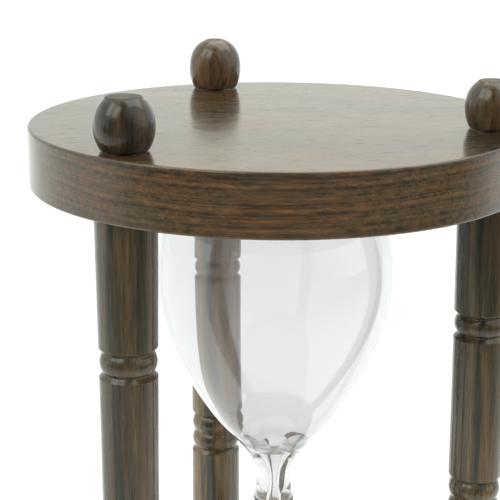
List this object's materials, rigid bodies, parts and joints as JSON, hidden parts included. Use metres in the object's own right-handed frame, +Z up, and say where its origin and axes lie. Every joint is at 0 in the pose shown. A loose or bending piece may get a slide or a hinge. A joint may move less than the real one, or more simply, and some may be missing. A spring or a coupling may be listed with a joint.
{
  "type": "hourglass",
  "caption": "Hourglass: round wooden end plates on turned posts with ring beads, screw-off ball finials and ball feet, around a one-piece blown glass with sand.",
  "frame": {"origin": "on the axis of the glass, in the plane of the feet's undersides", "axes": "+Z up along the glass, +X to the right and +Y to the back as the object is seen from its front, with the right post 10.2 degrees in front of +X"},
  "size_m": [0.114, 0.114, 0.203],
  "materials": {
    "rosewood": "dark streaked rosewood under gloss varnish",
    "glass": "clear blown glass, faint grey cast",
    "steel": "plain threaded stud",
    "felt": "dense dark green felt",
    "stopper": "matt grey rubber",
    "sand": "fine pale dry sand"
  },
  "bodies": {
    "stand": {"bottom_plate": "rosewood", "top_plate": "rosewood", "post_front": "rosewood", "post_back": "rosewood", "post_right": "rosewood", "foot_front": "rosewood", "foot_back": "rosewood", "foot_right": "rosewood", "lower_stud_front": "steel", "lower_stud_back": "steel", "lower_stud_right": "steel", "glass_vessel": "glass", "filling_stopper": "stopper", "lower_seat_pad": "felt", "upper_seat_pad": "felt", "sand": "sand"},
    "stud_front": {"upper_stud_front": "steel"},
    "finial_front": {"finial_front": "rosewood"},
    "stud_back": {"upper_stud_back": "steel"},
    "finial_back": {"finial_back": "rosewood"},
    "stud_right": {"upper_stud_right": "steel"},
    "finial_right": {"finial_right": "rosewood"}
  },
  "joints": [
    {"name": "finial_front_turn", "type": "hinge", "parent": "stand", "child": "stud_front", "pos_m": [-0.03143, -0.0372, 0.1904], "axis": [0, 0, 1], "range_deg": [0, 3960]},
    {"name": "finial_front_rise", "type": "slide", "parent": "stud_front", "child": "finial_front", "axis": [0, 0, 1], "range_m": [0, 0.0077]},
    {"name": "finial_back_turn", "type": "hinge", "parent": "stand", "child": "stud_back", "pos_m": [-0.0162, 0.04677, 0.1904], "axis": [0, 0, 1], "range_deg": [0, 3960]},
    {"name": "finial_back_rise", "type": "slide", "parent": "stud_back", "child": "finial_back", "axis": [0, 0, 1], "range_m": [0, 0.0077]},
    {"name": "finial_right_turn", "type": "hinge", "parent": "stand", "child": "stud_right", "pos_m": [0.04793, -0.00862, 0.1904], "axis": [0, 0, 1], "range_deg": [0, 3960]},
    {"name": "finial_right_rise", "type": "slide", "parent": "stud_right", "child": "finial_right", "axis": [0, 0, 1], "range_m": [0, 0.0077]}
  ],
  "couplings": [
    {"joint": "finial_front_turn", "follows": "finial_front_rise", "rad_per_m": 8976},
    {"joint": "finial_back_turn", "follows": "finial_back_rise", "rad_per_m": 8976},
    {"joint": "finial_right_turn", "follows": "finial_right_rise", "rad_per_m": 8976}
  ]
}
